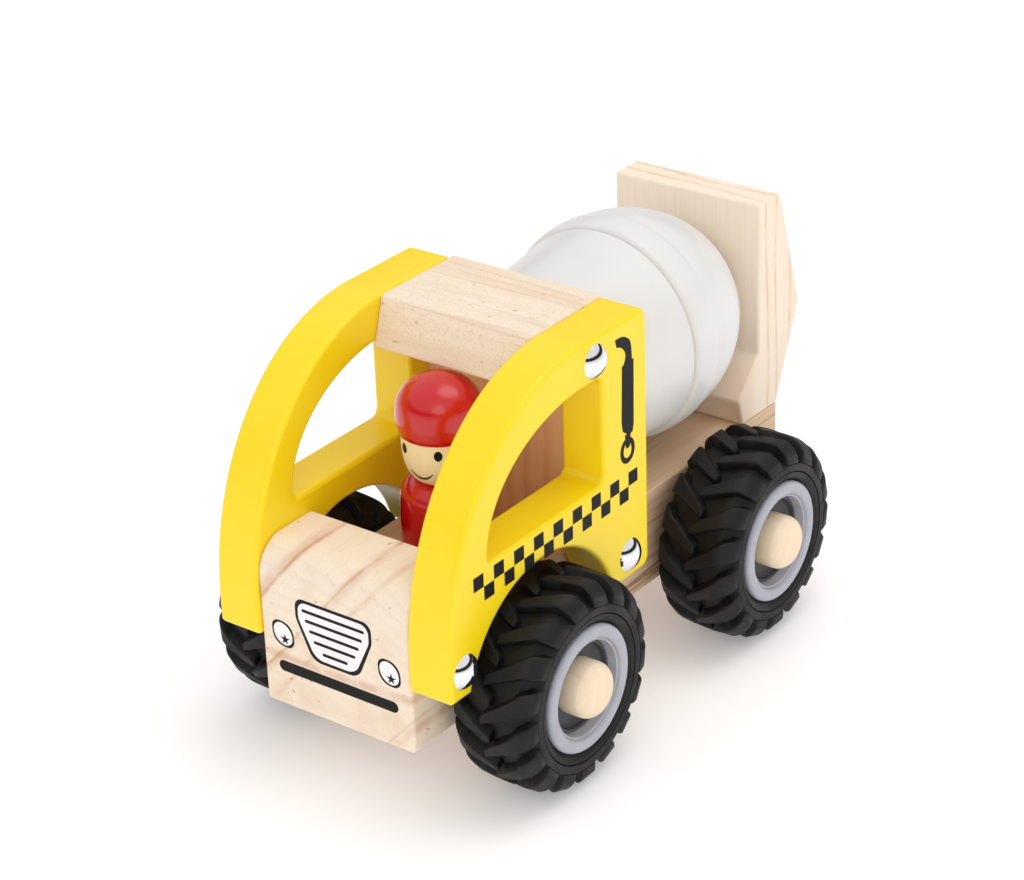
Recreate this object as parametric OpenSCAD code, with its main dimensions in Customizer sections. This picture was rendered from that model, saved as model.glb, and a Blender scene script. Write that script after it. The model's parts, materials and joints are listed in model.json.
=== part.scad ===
// Push along mixer truck in wood: a flat chassis beam on four rubber tyres, an open cab
// between two curved side panels, and a barrel drum that turns between the cab and a rear block.
// The truck faces -Y and its left side is +X. The origin is the centre of its outline on the floor.

/* [Body] */
// Overall length, from the panels' front edge to the back of the rear block
body_len = 170; // [166:1:180]
// Width of the chassis beam, the hood, the roof and the rear block
core_w = 45; // [42:0.5:48]
// Thickness of each side panel
panel_t = 12.5; // [10:0.5:14]
// Height of the chassis beam
beam_h = 26.5; // [24:0.5:29]
// Gap between the floor and the chassis beam
ground_gap = 18; // [16:0.5:20]

/* [Cab] */
// Length of the side panels
panel_len = 80; // [78:0.5:81]
// Height of the cab roof above the floor
cab_top = 106; // [102:1:108]
// Height above the floor at which the panels' legs end
leg_z = 36.3; // [34:0.1:38]
// Height above the floor of the windows' lower edge
window_z = 66.4; // [65:0.1:68]
// Height of the windows
window_h = 28.1; // [25:0.1:28.5]
// Thickness of the roof board and of the cab's back wall
board_t = 12; // [10:0.5:13]
// Depth of the hood block from front to back
hood_len = 20.8; // [18:0.2:22]
// Height of the hood block's top above the floor
hood_top = 61.2; // [58:0.2:64]

/* [Wheels] */
// Outer diameter of the tyres
tyre_d = 54; // [52:0.5:55]
// Width of the tyres
tyre_w = 23; // [20:0.5:24]
// Distance between the two axles
wheelbase = 85.2; // [83:0.2:87]
// Distance from the middle of the truck to the outer face of a rim
rim_face = 48; // [47:0.5:50]
// Diameter of the rims over their flanges
rim_d = 32; // [30:0.5:33]
// Diameter of the steel axles
axle_d = 5; // [4:0.5:6]
// Diameter of the wooden hub caps
cap_d = 14; // [12:0.5:16]

/* [Drum] */
// Height of the drum's axis above the floor
drum_z = 77.7; // [76.5:0.1:79]
// Largest diameter of the drum
drum_d = 59.4; // [56:0.2:61]
// Diameter of the rod that the drum turns on
rod_d = 6; // [5:0.5:8]

/* [Driver] */
// Largest diameter of the driver
driver_d = 21.2; // [18:0.2:22]
// Height of the driver's cap above the floor
driver_top = 93.6; // [90:0.1:94]

/* [Hidden] */
$fn = 64;

eps = 0.01;
run_fit = 0.05;             // radial clearance of a turning fit
end_play = 0.3;             // axial gap beside a turning piece
core_r = core_w / 2;
panel_x = core_r + panel_t; // outer face of the left panel
panel_corner = 3;
front_y = -body_len / 2;
back_y = body_len / 2;
cab_back = front_y + panel_len;
deck_z = ground_gap + beam_h;

// Running gear
axle_r = axle_d / 2;
axle_z = tyre_d / 2;
front_axle_y = front_y + 36.1;
rear_axle_y = front_axle_y + wheelbase;
tyre_r = tyre_d / 2;
rim_r = rim_d / 2;
bead_r = rim_r - 1;
dish_r = rim_r - 4.7;
tyre_in = rim_face - tyre_w;
disc_face = rim_face - 5;   // front of the dark disc inside the dish
disc_t = 3;
cap_tip = rim_face + 3.5;
dome_h = 3;
axle_end = rim_face - 1;
flange_w = 2;               // width of the rims' flanges
shoulder = 4;               // width of the tyres' rounded outer shoulder
boss_r = 5;
spacer_r = 4.5;

// Cab
arch_z = axle_z + 1.8;
arch_r = tyre_r + 2.2;
brow_y = front_y + 54;      // centre of the curve of the panels' front edge
brow_z = 42.8;
brow_power = 2.07;
window_back = cab_back - 18.5;
window_front = front_y + 16;
window_corner = 2;
notch_d = 10;               // depth of the notch that holds the back wall
wall_y = cab_back - board_t;
hood_front = front_y + 1;
hood_back = hood_front + hood_len;
hood_z = ground_gap + 0.6;
roof_z = cab_top - board_t - 0.8;
roof_len = 28.5;
roof_lean = 4;

// Screws
head_r = 4.35;
head_h = 2.2;
shank_r = 1.75;
shank_len = 26;
front_screw = [front_y + 5.8, 43.1];
rear_screw = [cab_back - 8.2, 42.6];
top_screw = [cab_back - 21.2, 99.7];

// Rear block
block_front = back_y - 19.8;
block_heel = back_y - 10.5;   // back edge of the rear block's foot and of the beam
apex_r = 4;
block_foot = back_y - 27.6; // front edge where the foot meets the beam
foot_lean = 1.7;
block_top = 104.2;
block_apex_z = 71.5;
block_screw_r = 2;
block_screw_x = 12;
block_screw_y = back_y - 19;
dowel_r = 3;
dowel_x = 12;
dowel_z = 36;

// Drum
rod_r = rod_d / 2;
rod_grip = 8;
washer_r = 7;
washer_t = 1.6;
drum_front = cab_back + washer_t + end_play;
drum_back = block_front - washer_t - end_play;
drum_r = drum_d / 2;
band_front = front_y + 111.3;    // front and back edges of the raised band
band_back = front_y + 120;

// Driver
driver_y = cab_back - 36.2;
driver_r = driver_d / 2;
neck_z = 66.8;
brim_z = 79;
pin_r = 2.5;
pin_bottom = deck_z - 9;
pin_top = brim_z + 7;

// Points of an arc about c from angle a to angle b, n steps
function arc(c, r, a, b, n) =
    [for (i = [0:n]) let (t = a + (b - a) * i / n) [c[0] + r * cos(t), c[1] + r * sin(t)]];

// Points of a quarter of a superellipse about c, from its left end up to its top
function brow(c, a, b, power, n) =
    [for (i = [0:n]) let (t = 90 * i / n)
        [c[0] - a * pow(cos(t), 2 / power), c[1] + b * pow(sin(t), 2 / power)]];

// Turns a shape drawn in the YZ plane into a solid from x0 to x1
module across(x0, x1) {
    translate([x0, 0, 0]) rotate([90, 0, 90]) linear_extrude(x1 - x0) children();
}

// Puts a solid of revolution on a cross axis, its own Z along +X for side 1 and -X for side -1
module on_axle(y, side) {
    translate([0, y, axle_z]) rotate([0, 90 * side, 0]) children();
}

// Puts a solid of revolution on the drum's axis, its own Z towards the back
module on_drum_axis(y) {
    translate([0, y, drum_z]) rotate([-90, 0, 0]) children();
}

module panel_outline() {
    corner = panel_corner;
    toe = corner / 2;
    difference() {
        polygon(concat(
            arc([front_y + toe, leg_z + toe], toe, 270, 180, 6),
            brow([brow_y, brow_z], brow_y - front_y, cab_top - brow_z, brow_power, 40),
            arc([cab_back - corner, cab_top - corner], corner, 90, 0, 8),
            arc([cab_back - corner, leg_z + corner], corner, 0, -90, 8)));
        translate([front_axle_y, arch_z]) circle(arch_r, $fn = 128);
        window_outline();
    }
}

module window_outline() {
    corner = window_corner;
    tip = 1.2;
    low = window_z;
    high = window_z + window_h;
    polygon(concat(
        arc([window_front + tip, low + tip], tip, 270, 180, 6),
        brow([brow_y, low + tip], brow_y - window_front, window_h - tip, 2, 28),
        arc([window_back - corner, high - corner], corner, 90, 0, 6),
        arc([window_back - corner, low + corner], corner, 0, -90, 6)));
}

module screw_bore(place) {
    translate([-panel_x - 1, place[0], place[1]]) rotate([0, 90, 0])
        cylinder(h = 2 * panel_x + 2, r = shank_r);
}

// A side panel; side is 1 for the left one and -1 for the right one
module panel(side) {
    color("gold")
    difference() {
        if (side > 0) across(core_r, panel_x) panel_outline();
        else across(-panel_x, -core_r) panel_outline();
        for (place = [front_screw, rear_screw, top_screw]) screw_bore(place);
    }
}

// A domed screw with its head on the outer face of a panel
module panel_screw(side, place) {
    dome_r = (head_r * head_r + head_h * head_h) / (2 * head_h);
    color("silver")
    translate([side * panel_x, place[0], place[1]]) rotate([0, 90 * side, 0]) {
        intersection() {
            translate([0, 0, head_h - dome_r]) sphere(dome_r);
            cylinder(h = head_h + 1, r = head_r);
        }
        translate([0, 0, -shank_len + eps]) cylinder(h = shank_len, r = shank_r);
    }
}

module blind_screw_bores(place) {
    for (side = [-1, 1])
        translate([side * panel_x, place[0], place[1]]) rotate([0, 90 * side, 0])
            translate([0, 0, -shank_len]) cylinder(h = shank_len, r = shank_r);
}

module chassis() {
    color("burlywood")
    difference() {
        translate([-core_r, hood_back, ground_gap])
            cube([core_w, block_heel - hood_back, beam_h]);
        translate([-core_r - 1, wall_y, deck_z - notch_d])
            cube([core_w + 2, board_t, notch_d + 1]);
        for (y = [front_axle_y, rear_axle_y])
            translate([-core_r - 1, y, axle_z]) rotate([0, 90, 0])
                cylinder(h = core_w + 2, r = axle_r + run_fit);
        front_dowel_shapes();
        block_screw_shapes();
        translate([0, driver_y, pin_bottom]) cylinder(h = beam_h, r = pin_r);
    }
}

module hood_block() {
    nose_r = 8.5;
    tail_r = 2;
    color("burlywood")
    difference() {
        across(-core_r, core_r) polygon(concat(
            [[hood_front, hood_z]],
            arc([hood_front + nose_r, hood_top - nose_r], nose_r, 180, 90, 12),
            arc([hood_back - tail_r, hood_top - tail_r], tail_r, 90, 0, 6),
            [[hood_back, hood_z]]));
        blind_screw_bores(front_screw);
        front_dowel_shapes();
    }
}

module left_panel() {
    panel(1);
}

module right_panel() {
    panel(-1);
}

module roof_block() {
    color("burlywood")
    difference() {
        across(-core_r, core_r) polygon([
            [cab_back, roof_z],
            [cab_back, cab_top],
            [cab_back - roof_len, cab_top],
            [cab_back - roof_len - roof_lean, roof_z]]);
        blind_screw_bores(top_screw);
    }
}

module back_wall() {
    color("peru")
    difference() {
        translate([-core_r, wall_y, deck_z - notch_d])
            cube([core_w, board_t, roof_z - deck_z + notch_d]);
        blind_screw_bores(rear_screw);
        on_drum_axis(cab_back - rod_grip) cylinder(h = rod_grip + 1, r = rod_r);
    }
}

module rear_block() {
    color("wheat")
    difference() {
        across(-core_r, core_r) polygon(concat(
            [[block_foot, deck_z],
            [block_foot - foot_lean, deck_z + 7.4],
            [block_front, deck_z + 17.5],
            [block_front, block_top],
            [block_front + 10.2, block_top]],
            arc([back_y - apex_r, block_apex_z - 0.6], apex_r, 15, -24, 6),
            [[block_heel, deck_z]]));
        on_drum_axis(block_front - 1) cylinder(h = rod_grip + 1, r = rod_r);
        block_screw_shapes();
    }
}

module front_dowel_shapes() {
    for (side = [-1, 1])
        translate([side * dowel_x, hood_back - 10, dowel_z]) rotate([-90, 0, 0])
            cylinder(h = 20, r = dowel_r);
}

module front_dowels() {
    color("tan") front_dowel_shapes();
}

// Two screws that rise through the beam into the rear block, heads flush with the underside
module block_screw_shapes() {
    for (side = [-1, 1]) translate([side * block_screw_x, block_screw_y, ground_gap]) {
        cylinder(h = beam_h + 14, r = block_screw_r);
        cylinder(h = 2, r1 = block_screw_r + 2, r2 = block_screw_r);
    }
}

module block_screws() {
    color("silver") block_screw_shapes();
}

module screw_left_front() {
    panel_screw(1, front_screw);
}

module screw_left_rear() {
    panel_screw(1, rear_screw);
}

module screw_left_top() {
    panel_screw(1, top_screw);
}

module screw_right_front() {
    panel_screw(-1, front_screw);
}

module screw_right_rear() {
    panel_screw(-1, rear_screw);
}

module screw_right_top() {
    panel_screw(-1, top_screw);
}

// Solids of revolution of the driver, with the pin's bore
module turned(outline) {
    difference() {
        translate([0, driver_y, 0]) rotate_extrude() polygon(outline);
        driver_pin_shape();
    }
}

module driver_pin_shape() {
    translate([0, driver_y, pin_bottom]) cylinder(h = pin_top - pin_bottom, r = pin_r);
}

module driver_body() {
    color("red") turned(concat(
        [[0, deck_z]],
        arc([driver_r - 1.6, deck_z + 1.5], 1.5, -90, 0, 4),
        arc([driver_r - 3.4, neck_z - 3.2], 3.2, 0, 85, 8),
        [[6, neck_z], [0, neck_z]]));
}

module driver_head() {
    jaw_r = driver_r - 1.1;
    color("bisque") turned(concat(
        [[0, neck_z]],
        [for (a = [-68:10:2]) [jaw_r * cos(a), brim_z - 1 + (brim_z - neck_z) * sin(a)]],
        [[jaw_r, brim_z], [0, brim_z]]));
}

module driver_cap() {
    crown = driver_top - brim_z - 4.5;
    color("red") turned(concat(
        [[0, brim_z], [driver_r - 0.8, brim_z], [driver_r - 0.4, brim_z + 1]],
        [for (a = [0:10:90]) [driver_r * cos(a), brim_z + 4.5 + crown * sin(a)]]));
}

module driver_pin() {
    color("tan") driver_pin_shape();
}

// A barrel that widens from its front end to the raised band and rounds off to its back end
module drum() {
    last = drum_back - drum_front;
    seam = band_front - drum_front;
    edge = band_back - drum_front;
    color("gainsboro")
    difference() {
        on_drum_axis(drum_front) rotate_extrude($fn = 128) polygon([
            [0, 0], [drum_r - 8, 0], [drum_r - 5.2, 2.2], [drum_r - 4.3, 6],
            [drum_r - 3.3, 14], [drum_r - 2.2, seam - 7], [drum_r - 1.2, seam],
            [drum_r - 0.3, seam + 0.7], [drum_r, edge - 4], [drum_r - 0.3, edge],
            [drum_r - 0.9, edge + 5], [drum_r - 2.1, edge + 10.5], [drum_r - 4.1, edge + 15.5],
            [drum_r - 6.6, edge + 20], [drum_r - 9.6, edge + 23.6], [drum_r - 15, last],
            [0, last]]);
        on_drum_axis(drum_front - 1) cylinder(h = last + 2, r = rod_r + run_fit);
    }
}

module drum_rod() {
    color("silver")
    on_drum_axis(cab_back - rod_grip)
        cylinder(h = block_front - cab_back + 2 * rod_grip, r = rod_r);
}

module drum_washer(y) {
    color("silver")
    on_drum_axis(y) difference() {
        cylinder(h = washer_t, r = washer_r);
        translate([0, 0, -1]) cylinder(h = washer_t + 2, r = rod_r);
    }
}

module drum_washer_front() {
    drum_washer(cab_back);
}

module drum_washer_rear() {
    drum_washer(block_front - washer_t);
}

module axle(y) {
    color("silver")
    translate([-axle_end, y, axle_z]) rotate([0, 90, 0]) cylinder(h = 2 * axle_end, r = axle_r);
}

module front_axle() {
    axle(front_axle_y);
}

module rear_axle() {
    axle(rear_axle_y);
}

// One side of a tyre's section, from the tread down to the bead; inward is 1 or -1
function tyre_side(face, inward, width) = [
    [tyre_r, face + inward * width], [tyre_r - 0.8, face + inward * 0.6 * width],
    [tyre_r - 3, face + inward * 0.3 * width], [rim_r + 4.5, face], [rim_r + 2.5, face],
    [rim_r + 1, face + inward], [rim_r, face + inward * 1.5], [rim_r, face + inward * flange_w],
    [bead_r, face + inward * flange_w]];

module tyre(y, side) {
    outer = tyre_side(rim_face, -1, shoulder);
    inner = tyre_side(tyre_in, 1, shoulder - 1.5);
    last = len(inner) - 1;
    color("dimgray")
    on_axle(y, side) rotate_extrude($fn = 96)
        polygon(concat([for (i = [0:last]) inner[last - i]], outer));
}

module rim(y, side) {
    color("lavender")
    on_axle(y, side) rotate_extrude($fn = 96) polygon([
        [dish_r, tyre_in], [rim_r, tyre_in], [rim_r, tyre_in + flange_w],
        [bead_r, tyre_in + flange_w], [bead_r, rim_face - flange_w], [rim_r, rim_face - flange_w],
        [rim_r, rim_face - 0.5], [rim_r - 0.5, rim_face], [rim_r - 3.2, rim_face],
        [rim_r - 3.6, rim_face - 1.4], [rim_r - 4.2, rim_face - 1.8], [dish_r, disc_face]]);
}

module disc(y, side) {
    color("darkslategray")
    on_axle(y, side) difference() {
        union() {
            translate([0, 0, disc_face - disc_t]) cylinder(h = disc_t, r = dish_r);
            translate([0, 0, tyre_in]) cylinder(h = disc_face - tyre_in - disc_t + eps, r = boss_r);
        }
        translate([0, 0, tyre_in - 1]) cylinder(h = tyre_w, r = axle_r);
    }
}

module hub_cap(y, side) {
    cap_r = cap_d / 2;
    dome_r = (cap_r * cap_r + dome_h * dome_h) / (2 * dome_h);
    color("wheat")
    on_axle(y, side) difference() {
        intersection() {
            translate([0, 0, cap_tip - dome_r]) sphere(dome_r, $fn = 96);
            translate([0, 0, disc_face]) cylinder(h = cap_tip - disc_face + 1, r = cap_r);
        }
        translate([0, 0, disc_face - 1]) cylinder(h = axle_end - disc_face + 1, r = axle_r);
    }
}

module spacer(y, side) {
    color("gray")
    on_axle(y, side) difference() {
        translate([0, 0, core_r + end_play]) cylinder(h = tyre_in - core_r - end_play, r = spacer_r);
        translate([0, 0, core_r]) cylinder(h = tyre_in, r = axle_r);
    }
}

chassis();
hood_block();
left_panel();
right_panel();
roof_block();
back_wall();
rear_block();
front_dowels();
block_screws();
screw_left_front();
screw_left_rear();
screw_left_top();
screw_right_front();
screw_right_rear();
screw_right_top();
driver_body();
driver_head();
driver_cap();
driver_pin();
drum();
drum_rod();
drum_washer_front();
drum_washer_rear();
front_axle();
rear_axle();
tyre(front_axle_y, 1);  // tyre_front_left
tyre(front_axle_y, -1);  // tyre_front_right
tyre(rear_axle_y, 1);  // tyre_rear_left
tyre(rear_axle_y, -1);  // tyre_rear_right
rim(front_axle_y, 1);  // rim_front_left
rim(front_axle_y, -1);  // rim_front_right
rim(rear_axle_y, 1);  // rim_rear_left
rim(rear_axle_y, -1);  // rim_rear_right
disc(front_axle_y, 1);  // disc_front_left
disc(front_axle_y, -1);  // disc_front_right
disc(rear_axle_y, 1);  // disc_rear_left
disc(rear_axle_y, -1);  // disc_rear_right
hub_cap(front_axle_y, 1);  // cap_front_left
hub_cap(front_axle_y, -1);  // cap_front_right
hub_cap(rear_axle_y, 1);  // cap_rear_left
hub_cap(rear_axle_y, -1);  // cap_rear_right
spacer(front_axle_y, 1);  // spacer_front_left
spacer(front_axle_y, -1);  // spacer_front_right
spacer(rear_axle_y, 1);  // spacer_rear_left
spacer(rear_axle_y, -1);  // spacer_rear_right
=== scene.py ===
import json
import math

import bmesh
import bpy
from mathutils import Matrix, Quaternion, Vector


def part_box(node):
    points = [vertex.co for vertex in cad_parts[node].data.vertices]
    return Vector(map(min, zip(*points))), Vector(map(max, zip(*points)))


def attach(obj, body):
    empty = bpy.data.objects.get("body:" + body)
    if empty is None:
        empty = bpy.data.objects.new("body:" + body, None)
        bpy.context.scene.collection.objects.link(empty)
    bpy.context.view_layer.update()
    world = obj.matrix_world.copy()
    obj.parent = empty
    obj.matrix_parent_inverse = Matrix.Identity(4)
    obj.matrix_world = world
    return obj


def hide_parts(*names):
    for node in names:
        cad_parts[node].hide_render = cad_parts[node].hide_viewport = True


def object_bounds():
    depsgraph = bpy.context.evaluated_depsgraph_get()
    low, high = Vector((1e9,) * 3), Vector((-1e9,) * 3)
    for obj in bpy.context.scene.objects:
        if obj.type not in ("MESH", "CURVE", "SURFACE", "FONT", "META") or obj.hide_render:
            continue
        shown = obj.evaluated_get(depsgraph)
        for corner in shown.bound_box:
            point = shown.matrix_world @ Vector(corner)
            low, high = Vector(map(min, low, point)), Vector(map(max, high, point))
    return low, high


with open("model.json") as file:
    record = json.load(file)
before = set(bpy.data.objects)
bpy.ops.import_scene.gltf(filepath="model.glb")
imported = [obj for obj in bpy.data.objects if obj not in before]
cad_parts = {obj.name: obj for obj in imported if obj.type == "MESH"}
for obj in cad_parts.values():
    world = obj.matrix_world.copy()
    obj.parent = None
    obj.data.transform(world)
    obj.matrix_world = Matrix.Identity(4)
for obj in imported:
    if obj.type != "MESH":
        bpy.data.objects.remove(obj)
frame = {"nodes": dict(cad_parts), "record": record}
cad_low, cad_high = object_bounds()

MM = 0.001
SIDES = {"left": 1, "right": -1}
ENDS = ("front", "rear")

# Camera: where it looks from, as angles round the truck, and what it aims at
CAMERA_AZIMUTH = 37.43
CAMERA_ELEVATION = 26.90
CAMERA_ROLL = -2.04
CAMERA_DISTANCE = 690 * MM
CAMERA_LENS = 98.38
SENSOR_WIDTH = 36
AIM_OFFSET = Vector((0.2, -13.5, 10.7)) * MM

# The floor reaches past the edge of every view, in metres
FLOOR_RADIUS = 40

# Tyres
LUGS = 17
LUG_DEPTH = 2.6 * MM
LUG_LEAN = 0.58             # how far a lug runs round the tyre for each unit that it runs outwards
LUG_BEND = 8.2 * MM         # distance from the middle of the tread at which a lug turns radial

# How far the driver's face turns towards the truck's left, in radians
FACE_TURN = 0.08

# Prints on the panels and the hood, in millimetres above the floor and from the panel's front edge
CHECK_COLUMNS = 17
CHECK_Z = 57.9
CHECK_PITCH = (3.85, 3.7)
CHECK_START = 9.8
CHECK_GAP = 0.06

# How far a print stands out of its surface, for one ink over another, and how far it reaches into it
PRINT_T = 0.06 * MM
UNDER_INK, INK, OVER_INK = 0.6 * PRINT_T, 0.9 * PRINT_T, 1.2 * PRINT_T
PRINT_SINK = -0.02 * MM

# Side panels and the edges of the wooden blocks
PANEL_EDGE = 1.2 * MM       # radius of the side panels' edges
SCREW_HOLE = 5 * MM         # outlines smaller than this are screw holes under their heads
WOOD_EDGES = {"hood_block": 1.1 * MM, "roof_block": 1.0 * MM, "rear_block": 0.8 * MM,
              "back_wall": 0.6 * MM, "chassis": 0.7 * MM}
EDGE_STEPS = 4
EDGE_ANGLE = math.radians(32)
FLAT_ANGLE = math.radians(0.6)
WELD = 1e-6                 # vertices nearer than this are one

# The colour sockets of Blender's mix node by number, and the width of its ring texture's rings at scale 1
MIX_A, MIX_B, MIX_RESULT = 6, 7, 2
RING_PERIOD = 0.314


# ---------------------------------------------------------------- mesh helpers

def new_object(name, mesh):
    """A new object in the scene that holds this mesh, curve, light or camera."""
    piece = bpy.data.objects.new(name, mesh)
    bpy.context.scene.collection.objects.link(piece)
    return piece


def piece_from(name, bm, material, body, crease=35):
    """Turns a bmesh into a smooth-shaded piece that rides on a body; edges past crease degrees stay sharp."""
    bmesh.ops.remove_doubles(bm, verts=bm.verts, dist=1e-7)
    bmesh.ops.recalc_face_normals(bm, faces=bm.faces)
    mesh = bpy.data.meshes.new(name)
    bm.to_mesh(mesh)
    bm.free()
    mesh.shade_smooth()
    mesh.set_sharp_from_angle(angle=math.radians(crease))
    mesh.materials.append(material)
    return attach(new_object(name, mesh), body)


def bridge(bm, rings):
    """Faces between each ring of vertices and the next. A ring of one vertex is a pole."""
    for a, b in zip(rings, rings[1:]):
        n = max(len(a), len(b))
        for i in range(n):
            j = (i + 1) % n
            corners = [a[i % len(a)], a[j % len(a)], b[j % len(b)], b[i % len(b)]]
            bm.faces.new(list(dict.fromkeys(corners)))


def smooth_line(points, steps):
    """A Catmull-Rom curve through the points, in this many steps from each to the next."""
    pts = [Vector(p) for p in points]
    pts = [2 * pts[0] - pts[1], *pts, 2 * pts[-1] - pts[-2]]
    line = []
    for p0, p1, p2, p3 in zip(pts, pts[1:], pts[2:], pts[3:]):
        for i in range(steps):
            t = i / steps
            line.append(0.5 * (2 * p1 + (p2 - p0) * t + (2 * p0 - 5 * p1 + 4 * p2 - p3) * t * t
                               + (3 * p1 - p0 - 3 * p2 + p3) * t ** 3))
    line.append(pts[-2])
    return line


def revolve(bm, profile, point, segments, closed=False):
    """Revolves (radius, distance) pairs; point(radius, angle, distance) gives the place in the truck."""
    rings = []
    for r, t in profile:
        count = 1 if r < 1e-9 else segments
        rings.append([bm.verts.new(point(r, 2 * math.pi * i / segments, t)) for i in range(count)])
    bridge(bm, rings + rings[:1] if closed else rings)


def rounded(corners, steps):
    """An outline with rounded corners, from (x, y, radius) triples in order."""
    outline = []
    for i, (x, y, radius) in enumerate(corners):
        here = Vector((x, y))
        before = (Vector(corners[i - 1][:2]) - here).normalized()
        after = (Vector(corners[(i + 1) % len(corners)][:2]) - here).normalized()
        half = before.angle(after) / 2
        reach = radius / math.tan(half)
        centre = here + (before + after).normalized() * (radius / math.sin(half))
        a, b = here + before * reach - centre, here + after * reach - centre
        for k in range(steps + 1):
            mix = a.lerp(b, k / steps).normalized() * radius if radius else Vector((0, 0))
            outline.append(centre + mix)
    return outline


def ellipse(cx, cy, rx, ry, steps):
    """The outline of an upright ellipse."""
    turns = [2 * math.pi * i / steps for i in range(steps)]
    return [Vector((cx + rx * math.cos(a), cy + ry * math.sin(a))) for a in turns]


def capsule(x0, x1, y, half, steps=12):
    """The outline of a straight bar with round ends."""
    turns = [math.pi * (i / steps - 0.5) for i in range(steps + 1)]
    right = [Vector((x1 - half + half * math.cos(a), y + half * math.sin(a))) for a in turns]
    left = [Vector((x0 + half - half * math.cos(a), y - half * math.sin(a))) for a in turns]
    return right + left


def slab(bm, outline, place, low, high):
    """A thin plate with this outline; place(x, y, height) puts a point of it on the truck."""
    bottom = [bm.verts.new(place(p[0], p[1], low)) for p in outline]
    top = [bm.verts.new(place(p[0], p[1], high)) for p in outline]
    bridge(bm, [bottom, top])
    bm.faces.new(top)
    bm.faces.new(bottom)


def soften(node, width):
    """Rounds a CAD node's edges with modifiers, which leave its mesh as it is."""
    piece = frame["nodes"][node]
    weld = piece.modifiers.new("weld", "WELD")
    weld.merge_threshold = WELD
    flat = piece.modifiers.new("merge_flat_faces", "DECIMATE")
    flat.decimate_type = "DISSOLVE"
    flat.angle_limit = FLAT_ANGLE
    edge = piece.modifiers.new("rounded_edges", "BEVEL")
    edge.width = width
    edge.segments = EDGE_STEPS
    edge.limit_method = "ANGLE"
    edge.angle_limit = EDGE_ANGLE
    edge.use_clamp_overlap = False
    normals = piece.modifiers.new("normals", "WEIGHTED_NORMAL")
    normals.keep_sharp = False
    normals.weight = 100


# ---------------------------------------------------------------- material helpers

class Shader:
    """A Principled material whose constants sit on the shader's own sockets, and short ways to add nodes."""

    def __init__(self, name, **constants):
        self.material = bpy.data.materials.new(name)
        self.material.use_nodes = True
        self.nodes = self.material.node_tree.nodes
        self.links = self.material.node_tree.links
        self.bsdf = self.nodes["Principled BSDF"]
        for socket, value in constants.items():
            self.bsdf.inputs[socket.replace("_", " ")].default_value = value
        place = self.nodes.new("ShaderNodeTexCoord")
        self.where = place.outputs["Object"]
        self.normal = place.outputs["Normal"]

    def put(self, socket, value):
        """Links a socket to another node's output, or sets it to a constant."""
        if isinstance(value, bpy.types.NodeSocket):
            self.links.new(value, socket)
        else:
            socket.default_value = value

    def stretched(self, scale, offset=(0, 0, 0)):
        """The place on the object, scaled along each axis and shifted."""
        node = self.nodes.new("ShaderNodeMapping")
        self.links.new(self.where, node.inputs["Vector"])
        node.inputs["Scale"].default_value = scale
        node.inputs["Location"].default_value = offset
        return node.outputs["Vector"]

    def noise(self, vector, detail=2.0, roughness=0.5, distortion=0.0):
        """Cloudy noise from 0 to 1, mostly near 0.5."""
        node = self.nodes.new("ShaderNodeTexNoise")
        self.links.new(vector, node.inputs["Vector"])
        node.inputs["Scale"].default_value = 1.0
        node.inputs["Detail"].default_value = detail
        node.inputs["Roughness"].default_value = roughness
        node.inputs["Distortion"].default_value = distortion
        return node.outputs["Fac"]

    def wave(self, vector, direction, scale, distortion, detail):
        """Rings round an axis that rise from 0 to 1 and fall back at once, like growth rings."""
        node = self.nodes.new("ShaderNodeTexWave")
        node.wave_type = "RINGS"
        node.rings_direction = direction
        node.wave_profile = "SAW"
        self.links.new(vector, node.inputs["Vector"])
        node.inputs["Scale"].default_value = scale
        node.inputs["Distortion"].default_value = distortion
        node.inputs["Detail"].default_value = detail
        node.inputs["Detail Scale"].default_value = 0.6
        return node.outputs["Fac"]

    def ramp(self, factor, low, high, start=0.0, end=1.0):
        """Maps factor from start..end to low..high."""
        node = self.nodes.new("ShaderNodeMapRange")
        node.interpolation_type = "SMOOTHSTEP"
        self.links.new(factor, node.inputs["Value"])
        node.inputs["From Min"].default_value = start
        node.inputs["From Max"].default_value = end
        node.inputs["To Min"].default_value = low
        node.inputs["To Max"].default_value = high
        return node.outputs["Result"]

    def mix(self, factor, a, b):
        """Colour a where factor is 0, and b where it is 1."""
        node = self.nodes.new("ShaderNodeMix")
        node.data_type = "RGBA"
        self.put(node.inputs["Factor"], factor)
        self.put(node.inputs[MIX_A], a)
        self.put(node.inputs[MIX_B], b)
        return node.outputs[MIX_RESULT]

    def maths(self, operation, a, b=0.0):
        """One operation on one or two numbers or sockets."""
        node = self.nodes.new("ShaderNodeMath")
        node.operation = operation
        self.put(node.inputs[0], a)
        self.put(node.inputs[1], b)
        return node.outputs[0]

    def dot(self, vector, direction):
        """How far vector goes along direction."""
        node = self.nodes.new("ShaderNodeVectorMath")
        node.operation = "DOT_PRODUCT"
        self.links.new(vector, node.inputs[0])
        node.inputs[1].default_value = direction
        return node.outputs["Value"]

    def bump(self, height, distance, strength):
        """Relief from a height between 0 and 1; distance is its depth in metres."""
        node = self.nodes.new("ShaderNodeBump")
        self.links.new(height, node.inputs["Height"])
        node.inputs["Distance"].default_value = distance
        node.inputs["Strength"].default_value = strength
        self.links.new(node.outputs["Normal"], self.bsdf.inputs["Normal"])

    def colour(self, socket):
        self.links.new(socket, self.bsdf.inputs["Base Color"])

    def roughness(self, socket):
        self.links.new(socket, self.bsdf.inputs["Roughness"])


def rgb(red, green, blue):
    """A colour given as 0-255 screen values."""
    return tuple((c / 255) ** 2.2 for c in (red, green, blue)) + (1.0,)


def along(grain, across, lengthwise):
    """A vector with one value across the grain, whose axis is X, Y or Z, and another along it."""
    return tuple(lengthwise if axis == grain else across for axis in "XYZ")


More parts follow.
